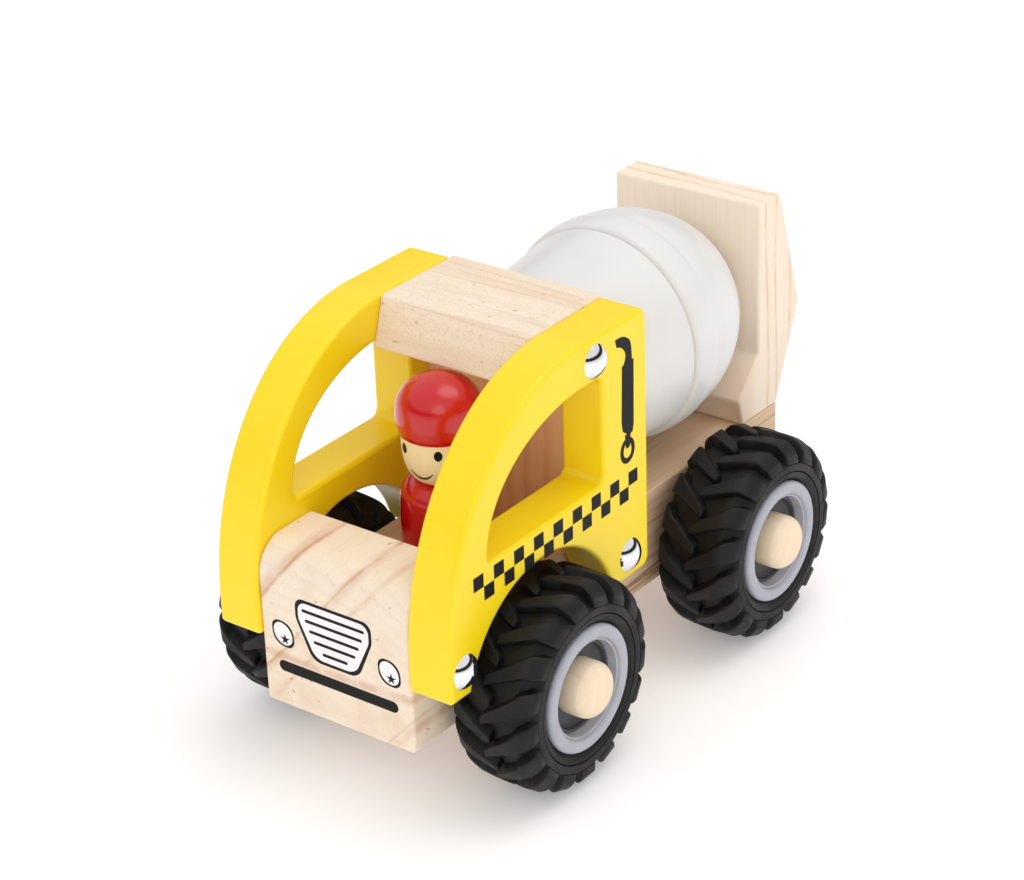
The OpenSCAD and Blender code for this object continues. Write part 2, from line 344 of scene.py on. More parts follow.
def wood(name, grain, pith, pale, late, streak, rings=0.35, streaks=0.4, ring_mm=3.2, gloss=0.62,
         seed=0.0, grit=0.0, specks=0.0, lines=()):
    """Pine as a solid texture: growth rings round a pith line, thin streaks and fibres along the grain.

    Each of lines is (normal, place, width, strength): a stain in the plane that is place along normal.
    """
    s = Shader(name, Roughness=gloss, Specular_IOR_Level=0.35)
    shift = (seed, seed * 0.37, seed * 0.71)
    warp = s.noise(s.stretched(along(grain, 26, 5), shift), detail=2.0)
    centred = s.stretched((1, 1, 1), tuple(-c for c in pith))
    ring = s.wave(centred, grain, RING_PERIOD / (ring_mm * MM), distortion=2.4, detail=2.0)
    band = s.ramp(ring, 0.0, rings, 0.40, 0.98)
    colour = s.mix(s.maths("MULTIPLY", band, s.ramp(warp, 0.35, 1.0, 0.35, 0.62)), pale, late)
    cloud = s.noise(s.stretched(along(grain, 60, 8), shift), detail=3.0, roughness=0.6)
    colour = s.mix(s.ramp(cloud, 0.0, 0.5, 0.48, 0.72), colour, late)
    if streaks:
        vein = s.noise(s.stretched(along(grain, 130, 4), shift), detail=2.0, distortion=0.3)
        ridge = s.maths("ABSOLUTE", s.maths("SUBTRACT", vein, 0.5))
        where = s.noise(s.stretched(along(grain, 45, 6), (seed + 2, 0, 1)), detail=1.0)
        thin = s.maths("MULTIPLY", s.ramp(ridge, streaks, 0.0, 0.0, 0.03), s.ramp(where, 0.0, 1.0, 0.45, 0.6))
        end_face = s.maths("ABSOLUTE", s.dot(s.normal, along(grain, 0, 1)))
        colour = s.mix(s.maths("MULTIPLY", thin, s.ramp(end_face, 1.0, 0.0, 0.45, 0.75)), colour, streak)
    for normal, place, width, strength in lines:
        wobble = s.noise(s.stretched((30, 30, 30), (place * 90, seed, 0)), detail=3.0)
        offset = s.maths("ADD", s.maths("MULTIPLY", s.maths("SUBTRACT", wobble, 0.5), 5 * MM), -place)
        distance = s.maths("ABSOLUTE", s.maths("ADD", s.dot(s.where, normal), offset))
        patchy = s.noise(s.stretched((140, 140, 140), (seed, place * 50, 0)), detail=3.0)
        stain = s.ramp(distance, strength, 0.0, 0.0, width)
        colour = s.mix(s.maths("MULTIPLY", stain, s.ramp(patchy, 0.35, 1.0, 0.35, 0.6)), colour, streak)
    fibre = s.noise(s.stretched(along(grain, 1500, 26), shift), detail=3.0, roughness=0.6)
    colour = s.mix(s.ramp(fibre, 0.18, 0.0, 0.30, 0.60), colour, late)
    if grit:
        speck = s.noise(s.stretched((1700, 1700, 1700), shift), detail=2.0)
        colour = s.mix(s.ramp(speck, 0.0, grit, 0.50, 0.72), colour, late)
    if specks:
        spot = s.noise(s.stretched(along(grain, 650, 330), shift), detail=1.0)
        colour = s.mix(s.ramp(spot, 0.0, specks, 0.705, 0.775), colour, streak)
    s.colour(colour)
    s.roughness(s.ramp(fibre, gloss - 0.08, gloss + 0.1))
    s.bump(s.maths("SUBTRACT", s.maths("MULTIPLY", fibre, 0.6), s.maths("MULTIPLY", band, 0.5)), 0.00006, 0.6)
    return s.material


def paint(name, colour, worn, gloss=0.4, coat=0.15, grain="Z", relief=0.00003):
    """Paint over wood: a faint grain shows through as relief, with slight clouding."""
    s = Shader(name, Roughness=gloss, Coat_Weight=coat, Coat_Roughness=0.12, Specular_IOR_Level=0.45)
    cloud = s.noise(s.stretched((45, 45, 45)), detail=3.0)
    grain_lines = s.noise(s.stretched(along(grain, 900, 35)), detail=2.0)
    speck = s.noise(s.stretched((2200, 2200, 2200)), detail=2.0)
    tone = s.mix(s.ramp(cloud, 0.0, 0.55, 0.35, 0.7), colour, worn)
    s.colour(tone)
    s.roughness(s.ramp(cloud, gloss - 0.05, gloss + 0.08, 0.3, 0.7))
    height = s.maths("ADD", s.maths("MULTIPLY", grain_lines, 0.8), s.maths("MULTIPLY", speck, 0.35))
    s.bump(height, relief, 0.6)
    return s.material


def rubber(name):
    """Matt black rubber with a fine grit, cloudy bloom and a few pale specks of dust."""
    s = Shader(name, Roughness=0.58, Specular_IOR_Level=0.42)
    bloom = s.noise(s.stretched((120, 120, 120)), detail=4.0, roughness=0.65)
    grit = s.noise(s.stretched((3200, 3200, 3200)), detail=2.0)
    dust = s.noise(s.stretched((700, 700, 700), (3, 1, 2)), detail=1.0)
    tone = s.mix(s.ramp(bloom, 0.0, 1.0, 0.35, 0.7), rgb(9, 9, 10), rgb(20, 20, 21))
    s.colour(s.mix(s.ramp(dust, 0.0, 0.35, 0.80, 0.86), tone, rgb(100, 98, 94)))
    s.roughness(s.ramp(bloom, 0.50, 0.70, 0.3, 0.7))
    s.bump(grit, 0.00005, 0.5)
    return s.material


def plastic(name, colour, shade, gloss, sheen=0.45):
    """Moulded plastic: even colour with slight flow marks and a fine satin texture."""
    s = Shader(name, Roughness=gloss, Specular_IOR_Level=sheen)
    flow = s.noise(s.stretched((160, 160, 160)), detail=3.0, distortion=0.8)
    satin = s.noise(s.stretched((4200, 4200, 4200)), detail=1.0)
    s.colour(s.mix(s.ramp(flow, 0.0, 1.0, 0.3, 0.7), colour, shade))
    s.roughness(s.ramp(flow, gloss - 0.04, gloss + 0.06, 0.3, 0.7))
    s.bump(satin, 0.00002, 0.4)
    return s.material


def metal(name, colour, gloss, brushed="Z", scratches=0.3):
    """Steel or chrome: hairline scratches vary the roughness and the relief."""
    s = Shader(name, Metallic=1.0, Roughness=gloss)
    lines = s.noise(s.stretched(along(brushed, 5200, 240)), detail=2.0)
    smear = s.noise(s.stretched((260, 260, 260)), detail=2.0)
    s.colour(s.mix(s.ramp(smear, 0.0, 0.35, 0.4, 0.75), colour, tuple(c * 0.8 for c in colour[:3]) + (1,)))
    s.roughness(s.ramp(lines, gloss * 0.8, gloss * 1.4, 0.3, 0.7))
    s.bump(lines, 0.00001, scratches)
    return s.material


def ink(name, colour, thin):
    """Screen print: slightly uneven ink."""
    s = Shader(name, Roughness=0.5, Specular_IOR_Level=0.22)
    patch = s.noise(s.stretched((900, 900, 900)), detail=3.0, roughness=0.6)
    s.colour(s.mix(s.ramp(patch, 0.0, 0.6, 0.45, 0.75), colour, thin))
    s.roughness(s.ramp(patch, 0.44, 0.6))
    s.bump(patch, 0.00001, 0.4)
    return s.material


# ---------------------------------------------------------------- stage

def camera():
    """The camera, aimed from the photograph's side at a point near the middle of the truck."""
    centre = (cad_low + cad_high) / 2
    data = bpy.data.cameras.new("camera")
    data.lens = CAMERA_LENS
    data.sensor_width = SENSOR_WIDTH
    data.clip_start = 0.01
    data.clip_end = 50
    view = new_object("camera", data)
    a, e = math.radians(CAMERA_AZIMUTH), math.radians(CAMERA_ELEVATION)
    back = Vector((math.sin(a) * math.cos(e), -math.cos(a) * math.cos(e), math.sin(e)))
    view.location = centre + AIM_OFFSET + back * CAMERA_DISTANCE
    view.rotation_mode = "QUATERNION"
    level = (-back).to_track_quat("-Z", "Y")
    view.rotation_quaternion = level @ Quaternion((0, 0, 1), math.radians(CAMERA_ROLL))
    bpy.context.scene.camera = view


def backdrop():
    """A pale floor wide enough to fill the picture, lit a little from below like a light table."""
    bm = bmesh.new()
    revolve(bm, [(0, 0), (1, 0), (3, 0), (FLOOR_RADIUS, 0)],
            lambda r, a, t: (r * math.cos(a), r * math.sin(a), t), 96)
    mesh = bpy.data.meshes.new("floor")
    bm.to_mesh(mesh)
    bm.free()
    s = Shader("floor_paper", Roughness=0.75, Specular_IOR_Level=0.15)
    cloud = s.noise(s.stretched((3, 3, 3)), detail=2.0)
    s.colour(s.mix(s.ramp(cloud, 0.0, 1.0, 0.3, 0.7), (0.93, 0.915, 0.92, 1), (0.94, 0.93, 0.93, 1)))
    s.bsdf.inputs["Emission Color"].default_value = (1.0, 0.98, 0.98, 1)
    s.bsdf.inputs["Emission Strength"].default_value = 0.21
    mesh.materials.append(s.material)
    new_object("floor", mesh)


def area_light(name, place, aim, size, power, tint):
    """A round soft light at a place, turned towards a point."""
    data = bpy.data.lights.new(name, "AREA")
    data.shape = "DISK"
    data.size = size
    data.energy = power
    data.color = tint
    lamp = new_object(name, data)
    lamp.location = place
    lamp.rotation_mode = "QUATERNION"
    lamp.rotation_quaternion = (Vector(aim) - Vector(place)).to_track_quat("-Z", "Y")


def lighting():
    """An even white studio with a dark strip above the horizon, which only reflections see."""
    scene = bpy.context.scene
    scene.view_settings.view_transform = "Standard"
    world = bpy.data.worlds.new("studio")
    world.use_nodes = True
    nodes, links = world.node_tree.nodes, world.node_tree.links
    sky = nodes["Background"]
    direction = nodes.new("ShaderNodeTexCoord").outputs["Generated"]
    parts = nodes.new("ShaderNodeSeparateXYZ")
    links.new(direction, parts.inputs[0])
    strip = nodes.new("ShaderNodeValToRGB")
    links.new(parts.outputs["Z"], strip.inputs["Fac"])
    strip.color_ramp.elements[0].color = (1, 1, 1, 1)
    strip.color_ramp.elements[1].color = (1, 1, 1, 1)
    for place, tone in ((0.10, 1.0), (0.14, 0.03), (0.36, 0.03), (0.42, 1.0)):
        strip.color_ramp.elements.new(place).color = (tone, tone, tone, 1)
    seen = nodes.new("ShaderNodeLightPath").outputs["Is Glossy Ray"]
    choose = nodes.new("ShaderNodeMix")
    choose.data_type = "RGBA"
    links.new(seen, choose.inputs["Factor"])
    choose.inputs[MIX_A].default_value = (1.0, 0.985, 0.98, 1)
    links.new(strip.outputs["Color"], choose.inputs[MIX_B])
    links.new(choose.outputs[MIX_RESULT], sky.inputs["Color"])
    sky.inputs["Strength"].default_value = 0.86
    scene.world = world
    area_light("softbox_top", (0.25, 0.30, 1.15), (0, 0, 0.04), 0.9, 3.0, (1.0, 0.985, 0.975))
    area_light("softbox_front", (0.75, -1.0, 0.85), (0, 0, 0.05), 0.8, 1.8, (1.0, 0.99, 0.98))


# ---------------------------------------------------------------- materials of this truck

def make_materials():
    """Every material by name. The names are those of the record's material slots, and two inks."""
    pale, late, streak = rgb(245, 229, 208), rgb(225, 197, 164), rgb(176, 128, 92)
    return {
        # The beam's pine is darker than the other blocks partly for its own browner tone and partly as
        # painted shade, for the shade it lies in under the panels and between the wheels.
        "beam_wood": wood("beam_wood", "Y", (0.01, 0, -0.05), rgb(226, 196, 164), rgb(194, 152, 114),
                          rgb(140, 96, 66), rings=0.5, streaks=0.8, seed=0.3),
        "hood_wood": wood("hood_wood", "Y", (-0.02, 0, -0.03), pale, late, rgb(190, 122, 74), rings=0.16,
                          streaks=0.0, seed=1.7, specks=0.75, lines=hood_lines()),
        "roof_wood": wood("roof_wood", "X", (0, 0.02, 0.02), pale, rgb(229, 203, 170), streak, rings=0.28,
                          streaks=0.2, seed=2.9, grit=0.75, specks=0.5),
        "wall_wood": wood("wall_wood", "Z", (0.05, 0.05, 0), rgb(250, 206, 160), rgb(224, 160, 114),
                          rgb(166, 100, 64), rings=0.5, streaks=0.5, seed=4.1),
        "block_wood": wood("block_wood", "Z", (0.0, 0.3, 0), rgb(248, 232, 212), rgb(234, 204, 172),
                           rgb(200, 158, 118), rings=0.15, streaks=0.0, ring_mm=7.5, seed=5.3,
                           lines=block_lines()),
        "dowel_wood": wood("dowel_wood", "Z", (0, 0, 0), rgb(236, 210, 176), late, streak, seed=6.1),
        "cap_wood": wood("cap_wood", "X", (0, 0.1, 0), rgb(246, 226, 196), rgb(232, 200, 162),
                         rgb(214, 180, 138), rings=0.2, streaks=0.15, gloss=0.5, seed=7.7),
        "driver_skin": wood("driver_skin", "Z", (0, 0.05, 0), rgb(248, 228, 178), rgb(236, 206, 150),
                            rgb(220, 180, 126), rings=0.2, streaks=0.12, gloss=0.35, seed=8.3),
        "panel_paint": paint("panel_paint", rgb(252, 220, 16), rgb(253, 225, 36), gloss=0.36),
        "driver_paint": paint("driver_paint", rgb(196, 10, 20), rgb(204, 18, 26), gloss=0.22, coat=0.5),
        "drum_paint": paint("drum_paint", rgb(222, 222, 221), rgb(229, 229, 228), gloss=0.4, coat=0.15,
                            grain="Y", relief=0.00005),
        "tyre_rubber": rubber("tyre_rubber"),
        "rim_plastic": plastic("rim_plastic", rgb(166, 168, 178), rgb(174, 176, 186), 0.38),
        "disc_plastic": plastic("disc_plastic", rgb(68, 70, 74), rgb(78, 80, 84), 0.45),
        "spacer_plastic": plastic("spacer_plastic", rgb(120, 120, 124), rgb(110, 110, 114), 0.5),
        "screw_chrome": metal("screw_chrome", rgb(236, 238, 242), 0.06, scratches=0.15),
        "bolt_steel": metal("bolt_steel", rgb(176, 178, 182), 0.35),
        "rod_steel": metal("rod_steel", rgb(186, 188, 192), 0.28, brushed="X"),
        "washer_steel": metal("washer_steel", rgb(182, 184, 188), 0.3),
        "ink_dark": ink("ink_dark", rgb(12, 12, 12), rgb(34, 33, 31)),
        "ink_white": ink("ink_white", rgb(246, 245, 246), rgb(238, 234, 232)),
    }


def hood_lines():
    """Stains that run back over the top of the hood and slant down its front, and a level one across it."""
    low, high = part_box("hood_block")
    slant = Vector((1, 0, -0.85))
    lines = []
    for across, width, strength in ((-11.5, 3.4, 0.36), (-10.2, 1.1, 0.62), (7.0, 2.8, 0.32),
                                    (6.4, 0.9, 0.52), (15.0, 1.6, 0.26), (53.6, 2.2, 0.42),
                                    (50.8, 1.0, 0.34)):
        place = slant.dot(Vector((across * MM, 0, high.z)))
        lines.append((slant, place, width * MM, strength))
    return lines + [(Vector((0, 0, 1)), low.z + 14.0 * MM, 1.9 * MM, 0.44)]


def block_lines():
    """Darker grain lines up the side faces of the rear block."""
    low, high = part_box("rear_block")
    deep = high.y - low.y
    return [(Vector((0, 1, 0)), low.y + share * deep, 0.9 * MM, 0.42) for share in (0.45, 0.60, 0.82)]


# ---------------------------------------------------------------- side panels

def outlines(node, face):
    """The closed outlines of a CAD panel's face at x = face, as lists of (y, z), without the screw holes."""
    piece = frame["nodes"][node]
    bm = bmesh.new()
    bm.from_mesh(piece.data)
    bm.transform(piece.matrix_world)
    bmesh.ops.remove_doubles(bm, verts=bm.verts, dist=WELD)
    onward = {}
    for edge in bm.edges:
        flat = [all(abs(v.co.x - face) < WELD for v in f.verts) for f in edge.link_faces]
        if sum(flat) == 1:
            for a, b in (edge.verts, reversed(edge.verts)):
                onward.setdefault(a, []).append(b)
    loops = []
    while onward:
        start, before = next(iter(onward)), None
        loop, here = [], start
        while here in onward:
            loop.append((here.co.y, here.co.z))
            ahead = [v for v in onward.pop(here) if v is not before]
            before, here = here, ahead[0]
        if max(y for y, z in loop) - min(y for y, z in loop) > SCREW_HOLE:
            loops.append(loop)
    bm.free()
    return loops


def make_panel(side, material):
    """A side panel with the CAD panel's outline, window and arch, and evenly rounded edges."""
    low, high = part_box(f"{side}_panel")
    curve = bpy.data.curves.new(f"outline_{side}", "CURVE")
    curve.dimensions = "2D"
    curve.fill_mode = "BOTH"
    curve.extrude = (high.x - low.x) / 2 - PANEL_EDGE
    curve.bevel_depth = PANEL_EDGE
    curve.bevel_resolution = 2
    curve.offset = -PANEL_EDGE
    for loop in outlines(f"{side}_panel", high.x if side == "left" else low.x):
        spline = curve.splines.new("POLY")
        spline.points.add(len(loop) - 1)
        spline.use_cyclic_u = True
        for point, (y, z) in zip(spline.points, loop):
            point.co = (y, z, 0, 1)
    drawn = new_object(f"outline_{side}", curve)
    bm = bmesh.new()
    bm.from_mesh(bpy.data.meshes.new_from_object(drawn))
    bpy.data.objects.remove(drawn)
    middle = (low.x + high.x) / 2
    for vert in bm.verts:
        vert.co = (middle + vert.co.z, vert.co.x, vert.co.y)
    piece = piece_from(f"cab_side_{side}", bm, material, "truck", crease=50)
    piece.modifiers.new("normals", "WEIGHTED_NORMAL").keep_sharp = True
    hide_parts(f"{side}_panel")


# ---------------------------------------------------------------- wheels

def wheel_points(end, side):
    """A function that puts (radius, angle, distance from the truck's middle) on one wheel's axle."""
    low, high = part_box(f"tyre_{end}_{side}")
    y, z = (low.y + high.y) / 2, (low.z + high.z) / 2
    sign = SIDES[side]
    return lambda r, angle, t: (sign * t, y - r * math.cos(angle), z + r * math.sin(angle))


def tyre_envelope(radius, half):
    """The lugs' outer surface as (radius, distance from the tread's middle), from the middle outwards."""
    offsets = ((0, -1.2), (0, 0.5), (-0.1, 4), (-0.35, 7), (-1.3, half / MM - 2.4),
               (-3.1, half / MM - 0.8), (-4.8, half / MM - 0.2), (-6.3, half / MM - 0.1))
    return smooth_line([(radius + dr * MM, t * MM) for dr, t in offsets], 4)


def add_lug(bm, envelope, middle, row, start, point):
    """One tread lug: a wedge that runs outwards and round the tyre, then down the sidewall as a block."""
    rings = []
    last = len(envelope) - 1
    for i, (r, w) in enumerate(envelope):
        ahead = envelope[min(i + 1, last)] - envelope[max(i - 1, 0)]
        normal = Vector((ahead[1], -ahead[0])).normalized()
        share = i / last
        half = (1.45 + 1.35 * min(1.0, share / 0.55) - 0.5 * max(0.0, share - 0.6)) * MM
        depth = LUG_DEPTH * (1 - max(0.0, share - 0.6) / 0.4 * 0.65)
        drop = 0.0
        if i == 0:
            half, drop = half * 0.8, 0.45 * MM
        elif i == last:
            half, drop = half * 0.85, depth * 0.8
        lean = LUG_LEAN * (min(w, LUG_BEND) + 0.2 * max(0.0, w - LUG_BEND)) / r
        slope = 0.5 * max(0.0, 1 - share / 0.6)
        section = ((-1.18, 1.3), (-1.0, 0.14), (-0.86, 0.0), (0.86 - slope, 0.0),
                   (1.02 - slope, 0.12), (1.25, 1.3))
        ring = []
        for out, down in section:
            sink = normal * (drop + depth * down)
            angle = start + lean + out * half / r
            ring.append(bm.verts.new(point(r - sink[0], angle, middle + row * (w - sink[1]))))
        rings.append(ring)
    bridge(bm, rings)
    bm.faces.new(rings[0])
    bm.faces.new(rings[-1])


def carcass_profile(radius, half, middle, bead):
    """The tyre under its lugs, as a closed loop of (radius, distance), with a fine groove near the bead."""
    side = smooth_line([(radius - LUG_DEPTH, 0), (radius - LUG_DEPTH - 0.1 * MM, half - 5.5 * MM),
                        (radius - 3.7 * MM, half - 3.4 * MM), (radius - 4.7 * MM, half - 2.4 * MM),
                        (radius - 5.5 * MM, half - 1.4 * MM), (radius - 6.1 * MM, half - 0.35 * MM),
                        (radius - 6.6 * MM, half - 0.12 * MM), (radius - 8.1 * MM, half - 0.15 * MM)], 5)
    ring = [(radius - 8.3 * MM, half - 0.6 * MM), (radius - 8.5 * MM, half - 0.3 * MM),
            (bead + 2.6 * MM, half - 0.5 * MM), (bead + 1.7 * MM, half - 1.1 * MM),
            (bead + 1.25 * MM, half - 1.6 * MM), (bead + 1.0 * MM, half - 1.8 * MM), (bead, half - 1.95 * MM)]
    outer = [tuple(p) for p in side] + ring
    inner = [(r, -t) for r, t in reversed(outer[1:])]
    return [(r, middle + t) for r, t in outer + inner]


def make_tyre(end, side, material):
    """A tyre with two rows of tread lugs that lean to each other, each half a step behind the other."""
    low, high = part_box(f"tyre_{end}_{side}")
    radius = (high.z - low.z) / 2
    near, far = sorted((abs(low.x), abs(high.x)))
    middle, half = (near + far) / 2, (far - near) / 2
    rim_low, rim_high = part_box(f"rim_{end}_{side}")
    bead = (rim_high.z - rim_low.z) / 2 - 1 * MM
    point = wheel_points(end, side)
    bm = bmesh.new()
    revolve(bm, carcass_profile(radius, half, middle, bead), point, 160, closed=True)
    envelope = tyre_envelope(radius, half)
    for i in range(LUGS):
        for row in (1, -1):
            turn = 2 * math.pi * (i + (0.25 if row > 0 else 0.75)) / LUGS
            add_lug(bm, envelope, middle, row, turn, point)
    piece = piece_from(f"tread_{end}_{side}", bm, material, f"{end}_wheels", crease=30)
    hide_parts(f"tyre_{end}_{side}")


def make_rim(end, side, material):
    """A dished plastic rim: a rounded outer lip, a step, and a cone down to the disc."""
    low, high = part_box(f"rim_{end}_{side}")
    disc_low, disc_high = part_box(f"disc_{end}_{side}")
    radius, dish = (high.z - low.z) / 2, (disc_high.z - disc_low.z) / 2
    back, face = sorted((abs(low.x), abs(high.x)))
    floor = max(abs(disc_low.x), abs(disc_high.x))
    lip = smooth_line([(radius - 0.02 * MM, face - 1.9 * MM), (radius, face - 0.9 * MM),
                       (radius - 0.5 * MM, face - 0.2 * MM), (radius - 1.5 * MM, face),
                       (radius - 2.8 * MM, face - 0.12 * MM), (radius - 3.3 * MM, face - 0.5 * MM)], 4)
    step = [(radius - 3.4 * MM, face - 0.95 * MM), (radius - 3.65 * MM, face - 0.85 * MM),
            (radius - 4.0 * MM, face - 1.05 * MM), (radius - 4.1 * MM, face - 1.5 * MM),
            (dish + 0.35 * MM, floor + 0.9 * MM), (dish, floor + 0.25 * MM), (dish, back)]
    hidden = [(radius, back), (radius, back + 1.9 * MM), (radius - 1 * MM, back + 1.95 * MM),
              (radius - 1 * MM, face - 1.95 * MM)]
    bm = bmesh.new()
    revolve(bm, [tuple(p) for p in lip] + step + hidden, wheel_points(end, side), 128, closed=True)
    piece = piece_from(f"wheel_rim_{end}_{side}", bm, material, f"{end}_wheels", crease=40)
    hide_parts(f"rim_{end}_{side}")


def make_cup(end, side, material):
    """The dark disc at the bottom of the dish, turned up at its edge, and the boss behind it."""
    low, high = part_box(f"disc_{end}_{side}")
    axle_low, axle_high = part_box(f"{end}_axle")
    bore = (axle_high.z - axle_low.z) / 2
    radius = (high.z - low.z) / 2
    back, face = sorted((abs(low.x), abs(high.x)))
    boss = bore + 2.5 * MM
    profile = [(bore, back), (boss, back), (boss, face - 3 * MM), (radius, face - 3 * MM),
               (radius, face + 1.9 * MM), (radius - 0.5 * MM, face + 1.9 * MM)]
    profile += [tuple(p) for p in smooth_line(
        [(radius - 0.6 * MM, face + 1.6 * MM), (radius - 0.75 * MM, face + 0.8 * MM),
         (radius - 1.3 * MM, face + 0.2 * MM), (radius - 2.4 * MM, face), (bore, face)], 5)]
    bm = bmesh.new()
    revolve(bm, profile, wheel_points(end, side), 96, closed=True)
    piece = piece_from(f"cup_{end}_{side}", bm, material, f"{end}_wheels", crease=40)
    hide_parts(f"disc_{end}_{side}")


def make_hub_cap(end, side, material):
    """A turned wooden cap: straight sides, a well rounded shoulder and a low dome."""
    low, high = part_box(f"cap_{end}_{side}")
    radius = (high.z - low.z) / 2
    base, tip = sorted((abs(low.x), abs(high.x)))
    profile = [(0, base), (radius - 0.1 * MM, base)] + [tuple(p) for p in smooth_line(
        [(radius, base + 0.4 * MM), (radius, tip - 4.2 * MM), (radius - 0.25 * MM, tip - 2.6 * MM),
         (radius - 1.3 * MM, tip - 1.1 * MM), (radius - 3.2 * MM, tip - 0.25 * MM), (0, tip)], 6)]
    bm = bmesh.new()
    revolve(bm, profile, wheel_points(end, side), 96)
    piece = piece_from(f"hub_{end}_{side}", bm, material, f"{end}_wheels", crease=50)
    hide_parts(f"cap_{end}_{side}")


# ---------------------------------------------------------------- drum

def make_drum(material):
    """The barrel: a widening front, a raised band with a fine seam before it, and a rounded back."""
    low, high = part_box("drum")
    radius = (high.x - low.x) / 2
    z = (high.z + low.z) / 2
    last = (high.y - low.y) / MM
    seam, edge = 29.4, 38.1
    bore = 3.05
    full = radius / MM
    front = smooth_line([(full - 8, 0), (full - 5.9, 0.7), (full - 4.8, 2.6), (full - 4.2, 6),
                         (full - 3.2, 14), (full - 2.2, seam - 7), (full - 1.5, seam - 0.5)], 6)
    band = smooth_line([(full - 2.0, seam - 0.2), (full - 1.0, seam + 0.15), (full - 0.35, seam + 1.2),
                        (full, edge - 4), (full - 0.05, edge - 1.2), (full - 0.3, edge)], 6)
    back = smooth_line([(full - 0.75, edge + 0.25), (full - 0.95, edge + 5), (full - 2.15, edge + 10.5),
                        (full - 4.15, edge + 15.5), (full - 6.7, edge + 20), (full - 9.8, edge + 23.7),
                        (full - 15.0, last)], 6)
    profile = [(bore, 0)] + [tuple(p) for p in front + band + back] + [(bore, last)]
    bm = bmesh.new()
    revolve(bm, [(r * MM, low.y + t * MM) for r, t in profile],
            lambda r, a, t: (r * math.cos(a), t, z + r * math.sin(a)), 192, closed=True)
    piece = piece_from("mixer_drum", bm, material, "mixer", crease=30)
    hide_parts("drum")


# ---------------------------------------------------------------- driver

def driver_axis():
    """Where the driver's upright axis stands, as (x, y)."""
    low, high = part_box("driver_cap")
    return (low.x + high.x) / 2, (low.y + high.y) / 2


def head_profile():
    """(radius, height) of the driver's head, from the neck up to the cap's brim."""
    low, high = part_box("driver_head")
    r = (high.x - low.x) / 2
    rise = high.z - low.z
    return smooth_line([(0.50 * r, low.z), (0.70 * r, low.z + 0.06 * rise), (0.865 * r, low.z + 0.24 * rise),
                        (0.955 * r, low.z + 0.46 * rise), (r * 0.993, low.z + 0.72 * rise), (r, high.z)], 8)


def on_head(across, z, lift):
    """The point on the face this far to the side of the middle and this high, lifted off the surface."""
    x, y = driver_axis()
    line = head_profile()
    for a, b in zip(line, line[1:]):
        if a[1] <= z <= b[1]:
            r = a[0] + (b[0] - a[0]) * (z - a[1]) / (b[1] - a[1]) + lift
            break
    turn = FACE_TURN + across / r
    return (x + r * math.sin(turn), y - r * math.cos(turn), z)


def turned_piece(name, profile, material, node):
    """A piece of the driver with this (radius, height) profile, in place of a CAD node."""
    x, y = driver_axis()
    bm = bmesh.new()
    revolve(bm, [tuple(p) for p in profile],
            lambda r, a, t: (x + r * math.cos(a), y + r * math.sin(a), t), 96)
    piece = piece_from(name, bm, material, "truck", crease=50)
    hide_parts(node)


def make_driver(materials):
    """The turned body, head and cap."""
    low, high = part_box("driver_body")
    r, top = (high.x - low.x) / 2, high.z
    body = [(0, low.z), (r - 1.4 * MM, low.z)] + smooth_line(
        [(r - 0.5 * MM, low.z + 0.4 * MM), (r - 0.05 * MM, low.z + 1.6 * MM), (r, low.z + 5 * MM),
         (r - 0.1 * MM, top - 6 * MM), (r - 0.6 * MM, top - 2.8 * MM), (r - 2.2 * MM, top - 0.7 * MM),
         (r - 3.8 * MM, top)], 6) + [(0, top)]
    turned_piece("doll_body", body, materials["driver_paint"], "driver_body")
    head = head_profile()
    turned_piece("doll_head", [(0, head[0][1])] + head + [(0, head[-1][1])],
                 materials["driver_skin"], "driver_head")
    low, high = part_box("driver_cap")
    r, rise = (high.x - low.x) / 2, high.z - low.z
    cap = [(0, low.z), (0.90 * r, low.z)] + smooth_line(
        [(0.935 * r, low.z + 0.02 * rise), (0.975 * r, low.z + 0.12 * rise), (r, low.z + 0.33 * rise),
         (0.94 * r, low.z + 0.60 * rise), (0.71 * r, low.z + 0.83 * rise), (0.36 * r, low.z + 0.955 * rise),
         (0, high.z)], 8)
    turned_piece("doll_cap", cap, materials["driver_paint"], "driver_cap")


def make_face(material):
    """Two oval eyes and a smile, as thin plates that follow the head."""
    low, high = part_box("driver_head")
    eye_z = high.z - 2.4 * MM
    bm = bmesh.new()
    for side in (-1, 1):
        outline = ellipse(side * 5.0 * MM, eye_z, 1.0 * MM, 1.3 * MM, 28)
        slab(bm, outline, on_head, 0.0, 0.12 * MM)
    count = 24
    rings = []
    for i in range(count + 1):
        u = -1 + 2 * i / count
        half = (0.30 - 0.18 * abs(u) ** 3) * MM
        centre = (u * 3.1 * MM, low.z + (3.0 + 1.7 * u * u) * MM)
        rings.append([bm.verts.new(on_head(centre[0], centre[1] + v * half, lift))
                      for v, lift in ((-1, 0.0), (-1, 0.1 * MM), (1, 0.1 * MM), (1, 0.0))])
    bridge(bm, rings)
    bm.faces.new(rings[0])
    bm.faces.new(rings[-1])
    piece_from("doll_face", bm, material, "truck")


# ---------------------------------------------------------------- prints

def panel_place(side, edge):
    """A function that puts (mm behind the panel's front or rear edge, mm above the floor) on its face."""
    low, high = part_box(f"{side}_panel")
    face = SIDES[side] * max(abs(low.x), abs(high.x))
    start = low.y if edge == "front" else high.y
    return lambda y, z, lift: (face + SIDES[side] * lift, start + y * MM, z * MM)


